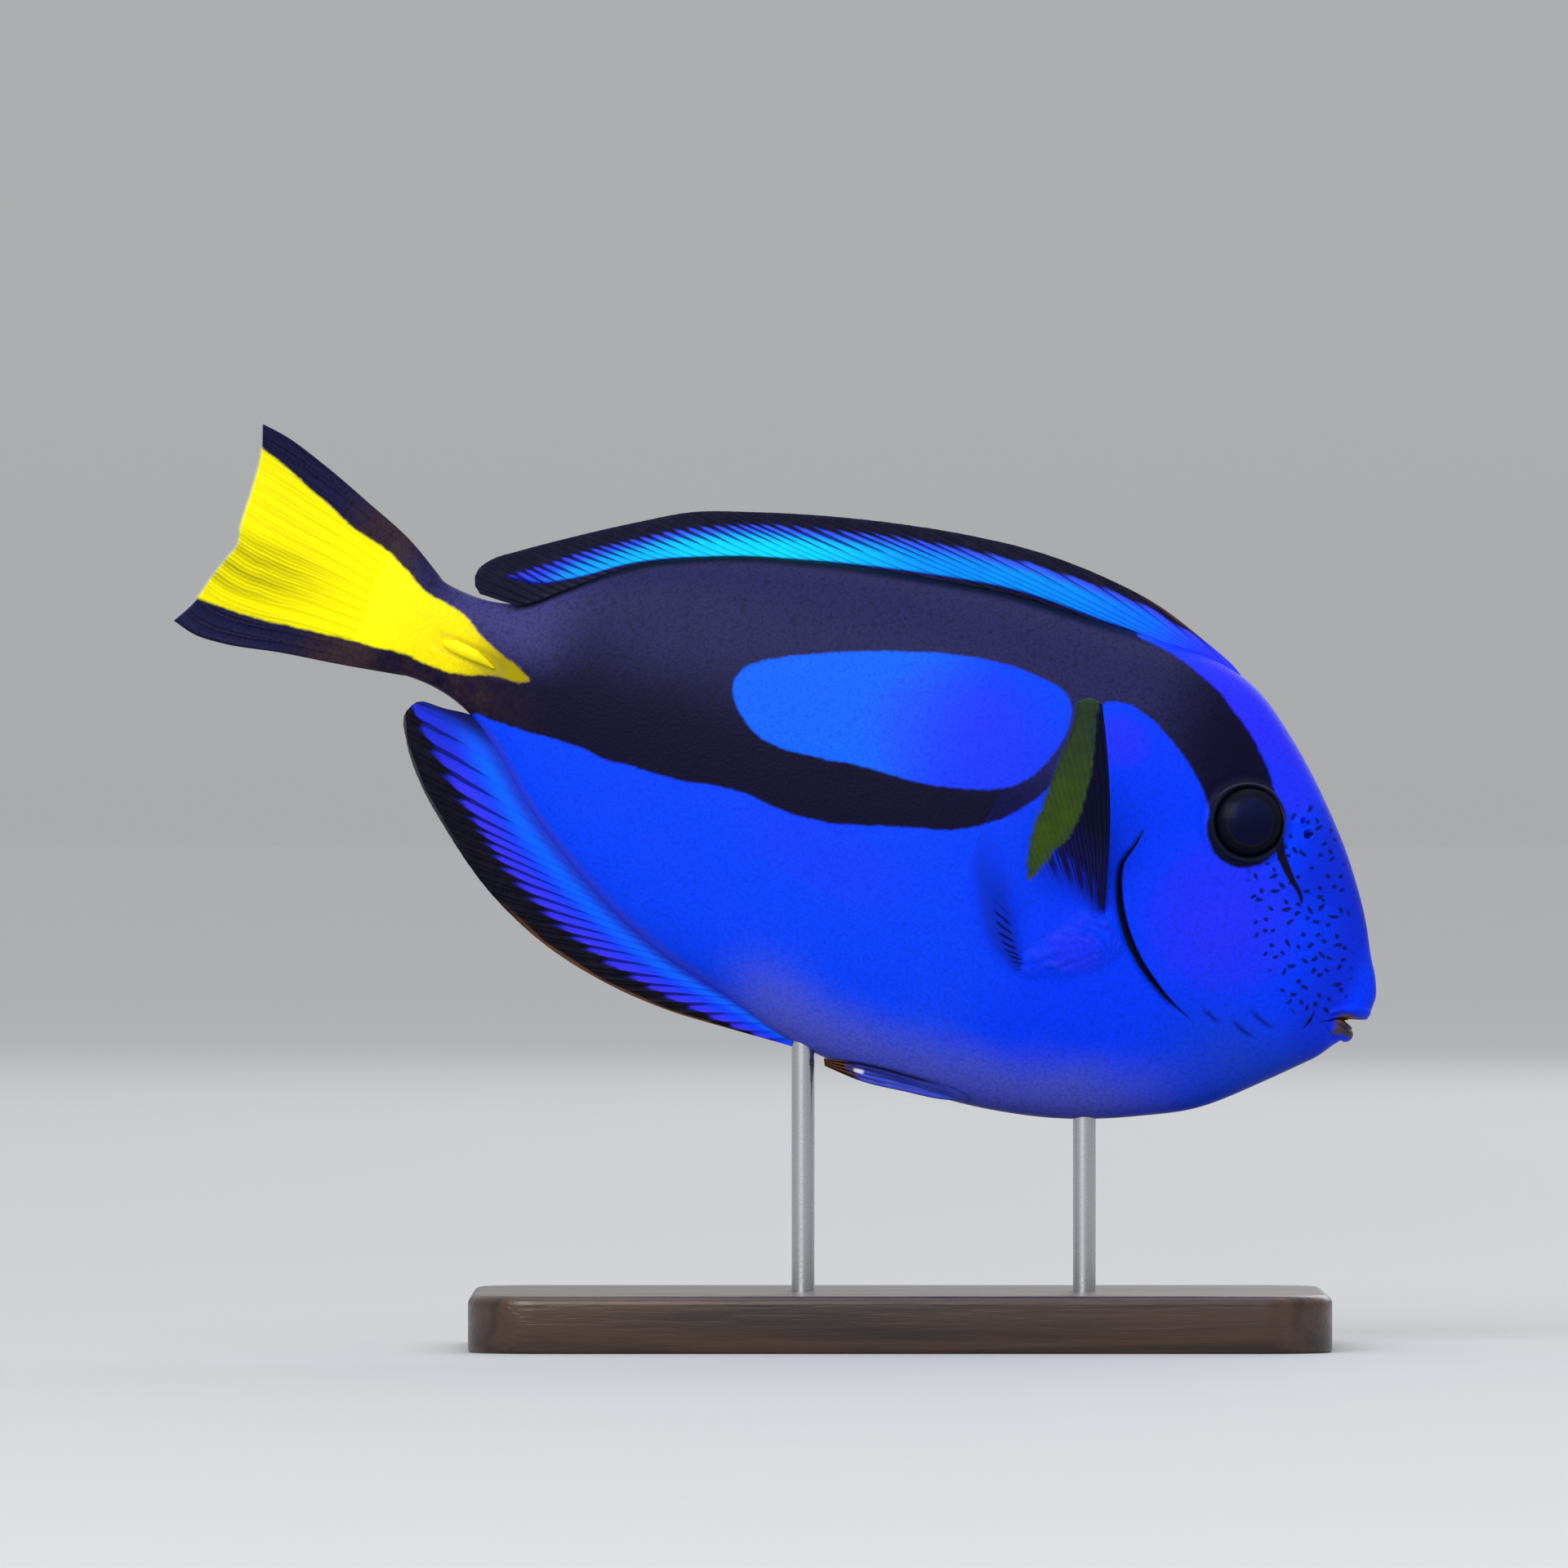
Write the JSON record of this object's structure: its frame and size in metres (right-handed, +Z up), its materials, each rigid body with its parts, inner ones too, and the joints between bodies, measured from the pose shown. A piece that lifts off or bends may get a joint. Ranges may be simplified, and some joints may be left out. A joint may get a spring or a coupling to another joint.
{
  "type": "regal blue tang",
  "caption": "Still, life-size model of a regal blue tang swimming head down, its body divided into head, trunk, tail and fins, on a flat stand with rods.",
  "frame": {"origin": "on the underside of the stand, in the middle of the whole model's length and width", "axes": "+X towards the fish's head, +Y towards its left side, +Z up; the fish's own long axis is tipped 22 degrees head down"},
  "size_m": [0.2108, 0.087, 0.1618],
  "materials": {
    "skin": "satin deep blue fish skin with fine scales, a black band and a blue oval",
    "fin_blue": "satin blue membrane with dark slanting rays and a black margin",
    "fin_yellow": "satin yellow tail fin with black upper and lower lobes and a clear rear edge",
    "fin_pectoral": "thin satin membrane, black leading rays, a yellow patch and a blue root",
    "fin_pelvic": "satin blue membrane with a dark edge and brown tips",
    "eye": "wet, near-black glossy eye",
    "spine": "smooth yellow folded tail spine",
    "stand_base": "dark stained, satin varnished hardwood",
    "stand_rod": "satin brushed stainless steel"
  },
  "bodies": {
    "root": {"head": "skin", "lower_jaw": "skin", "gill_cover_right": "skin", "gill_cover_left": "skin", "trunk": "skin", "tail_base": "skin", "dorsal_fin": "fin_blue", "anal_fin": "fin_blue", "caudal_fin": "fin_yellow", "pectoral_fin_right": "fin_pectoral", "pectoral_fin_left": "fin_pectoral", "pelvic_fin_right": "fin_pelvic", "pelvic_fin_left": "fin_pelvic", "eye_right": "eye", "eye_left": "eye", "tail_spine_right": "spine", "tail_spine_left": "spine", "stand_base": "stand_base", "stand_rod_front": "stand_rod", "stand_rod_rear": "stand_rod"}
  },
  "joints": []
}
